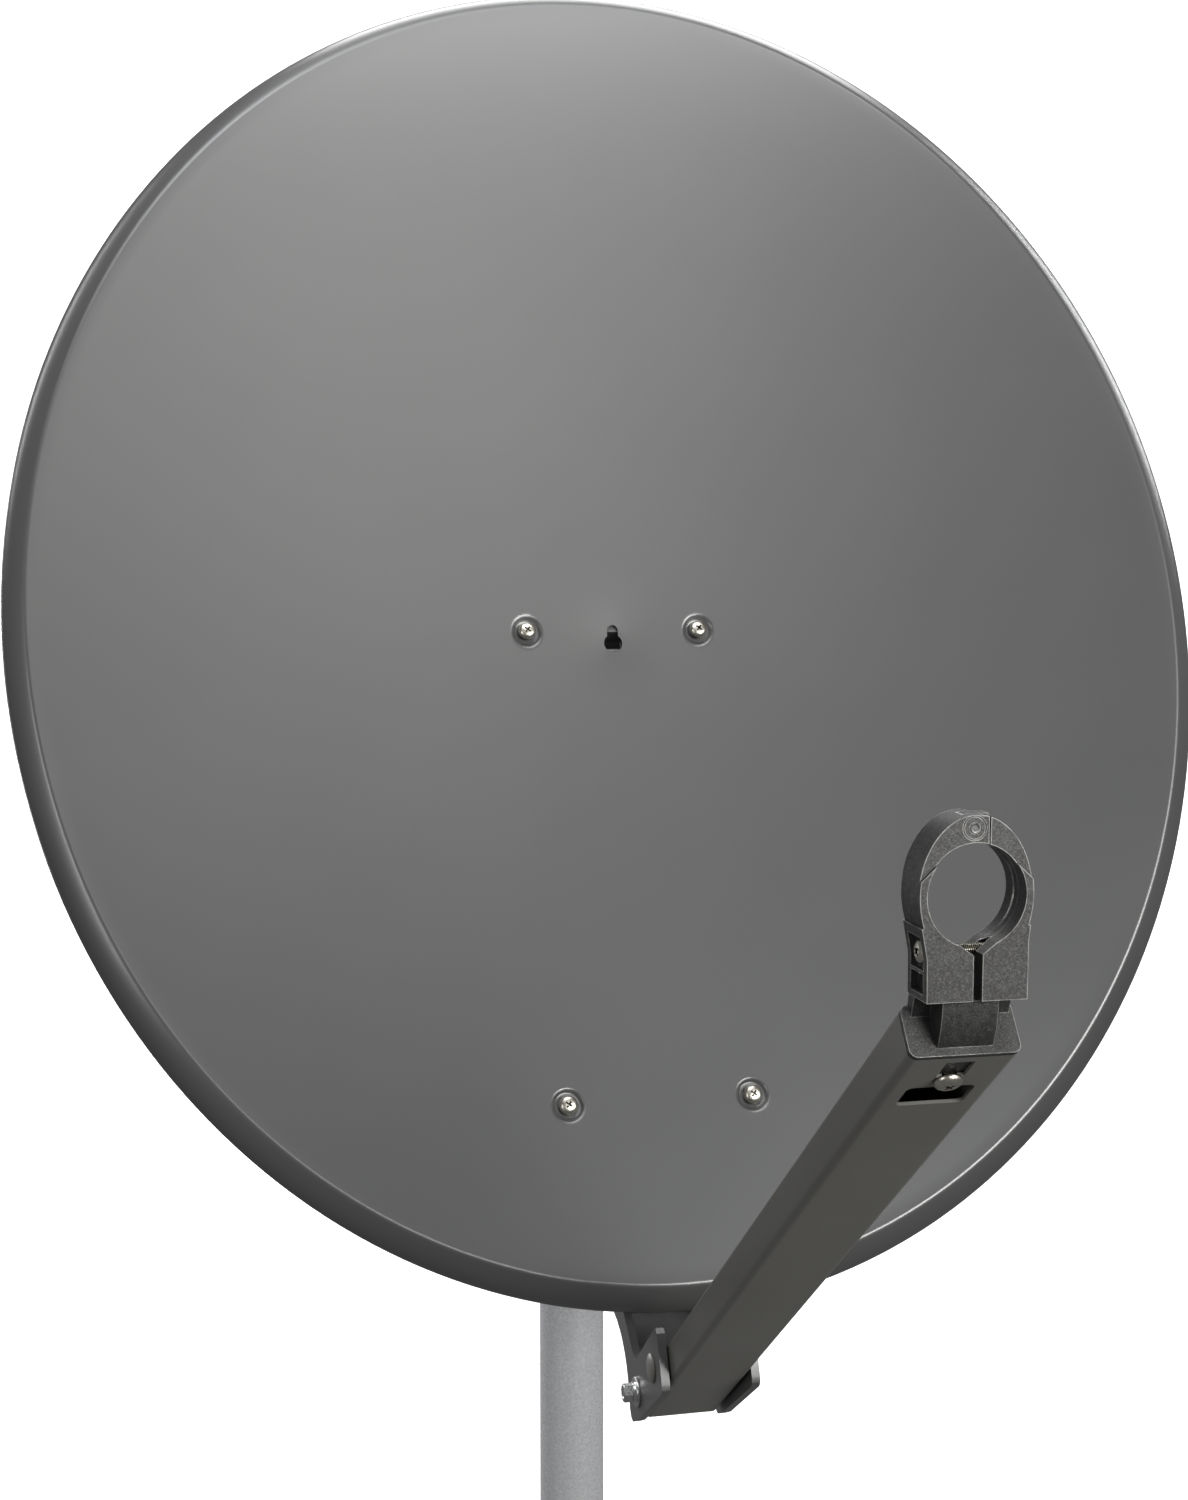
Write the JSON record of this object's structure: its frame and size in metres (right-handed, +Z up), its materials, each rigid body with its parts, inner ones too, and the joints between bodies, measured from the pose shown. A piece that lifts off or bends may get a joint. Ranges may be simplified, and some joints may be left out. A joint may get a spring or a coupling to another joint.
{
  "type": "satellite dish",
  "caption": "Offset satellite dish: anthracite reflector with rolled rim, rear bracket with elevation hinge and mast clamp, folding feed arm and split feed clamp.",
  "frame": {"origin": "on the mast's axis, midway between the upper and lower jaws of the mast clamp", "axes": "+Z up along the mast, -Y the way the dish faces, +X to the right for someone facing the dish"},
  "size_m": [0.8, 0.841, 0.9265],
  "materials": {
    "reflector_coat": "satin anthracite powder coat on aluminium sheet",
    "bracket_coat": "satin grey-brown powder coat on cast aluminium",
    "arm_coat": "satin grey-brown powder coat",
    "die_cast": "raw die casting, grainy, with bright worn edges",
    "zinc_plate": "bright zinc plate",
    "nickel_screws": "bright nickel plate"
  },
  "bodies": {
    "mast_mount": {"mast_bracket": "bracket_coat", "mast_bolts": "zinc_plate", "elevation_pivot_bolt": "zinc_plate", "elevation_pivot_washers": "zinc_plate", "elevation_pivot_nut": "zinc_plate"},
    "dish": {"reflector": "reflector_coat", "reflector_screws": "nickel_screws", "reflector_washers": "zinc_plate", "reflector_nuts": "zinc_plate", "dish_bracket": "bracket_coat", "elevation_lock_bolt": "zinc_plate", "elevation_lock_washers": "zinc_plate", "elevation_lock_nut": "zinc_plate", "elevation_lock_bush": "zinc_plate", "elevation_pivot_bush": "zinc_plate", "arm_pivot_rivet": "arm_coat", "arm_lock_bolt": "zinc_plate", "arm_lock_washers": "zinc_plate", "arm_lock_nut": "zinc_plate"},
    "upper_jaw": {"mast_jaw_upper": "bracket_coat", "mast_washers_upper": "zinc_plate", "mast_nuts_upper": "zinc_plate"},
    "lower_jaw": {"mast_jaw_lower": "bracket_coat", "mast_washers_lower": "zinc_plate", "mast_nuts_lower": "zinc_plate"},
    "arm": {"arm_tube": "arm_coat", "arm_pivot_bush": "zinc_plate"},
    "feed_holder": {"feed_bracket": "die_cast", "plug_screw": "nickel_screws", "clamp_hinge_pin": "zinc_plate", "clamp_screw": "nickel_screws"},
    "clamp_half": {"clamp_jaw": "die_cast"},
    "clamp_nut": {"clamp_nut": "zinc_plate"}
  },
  "joints": [
    {"name": "elevation", "type": "hinge", "parent": "mast_mount", "child": "dish", "pos_m": [0, -0.08, -0.045], "axis": [-1, 0, 0], "range_deg": [-28, 12]},
    {"name": "arm_fold", "type": "hinge", "parent": "dish", "child": "arm", "pos_m": [0, -0.38601, -0.35913], "axis": [-1, 0, 0], "range_deg": [0, 50]},
    {"name": "feed_slide", "type": "slide", "parent": "arm", "child": "feed_holder", "axis": [0, -0.788, 0.6157], "range_m": [0, 0.012]},
    {"name": "clamp_open", "type": "hinge", "parent": "feed_holder", "child": "clamp_half", "pos_m": [-0.0009, -0.769, 0.015], "axis": [0, -1, 0], "range_deg": [0, 5]},
    {"name": "clamp_nut_slide", "type": "slide", "parent": "feed_holder", "child": "clamp_nut", "axis": [1, 0, 0], "range_m": [0, 0.0045]},
    {"name": "upper_jaw_slide", "type": "slide", "parent": "mast_mount", "child": "upper_jaw", "axis": [0, 1, 0], "range_m": [-0.01, 0.01]},
    {"name": "lower_jaw_slide", "type": "slide", "parent": "mast_mount", "child": "lower_jaw", "axis": [0, 1, 0], "range_m": [-0.01, 0.01]}
  ],
  "couplings": [
    {"joint": "clamp_nut_slide", "follows": "clamp_open", "m_per_rad": 0.048}
  ]
}
